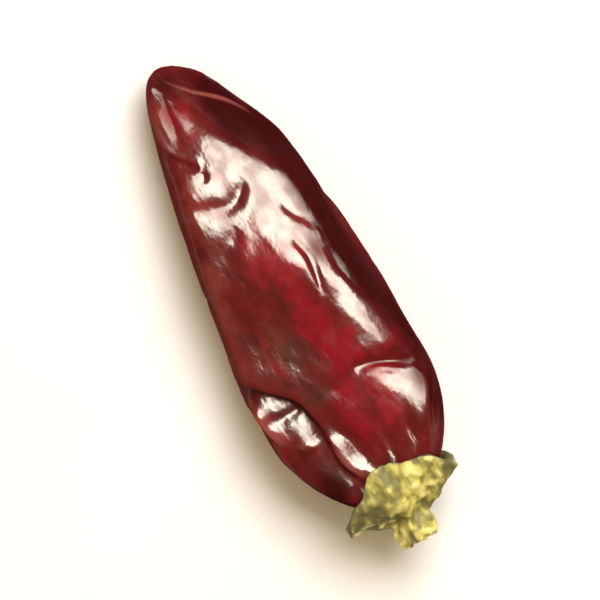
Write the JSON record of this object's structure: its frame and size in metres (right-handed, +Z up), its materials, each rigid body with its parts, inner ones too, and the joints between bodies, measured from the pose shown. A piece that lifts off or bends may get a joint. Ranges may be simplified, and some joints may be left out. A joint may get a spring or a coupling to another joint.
{
  "type": "dried chilli pepper",
  "caption": "Whole dried chilli pepper lying on its side: a wrinkled glossy pod, blunt at the tip, with a five-cornered green calyx and a broken stub of its stalk.",
  "frame": {"origin": "under the middle of the whole pepper, on the surface that it lies on", "axes": "+X along the pod from the calyx to the tip, +Z up from the surface, +Y across the pod"},
  "size_m": [0.0468, 0.016, 0.0109],
  "materials": {
    "dried_skin": "glossy, thin and tough dried skin, dark maroon to crimson",
    "dry_green": "matte, dry and fibrous, olive green to straw yellow"
  },
  "bodies": {
    "root": {"pod": "dried_skin", "calyx": "dry_green"}
  },
  "joints": []
}
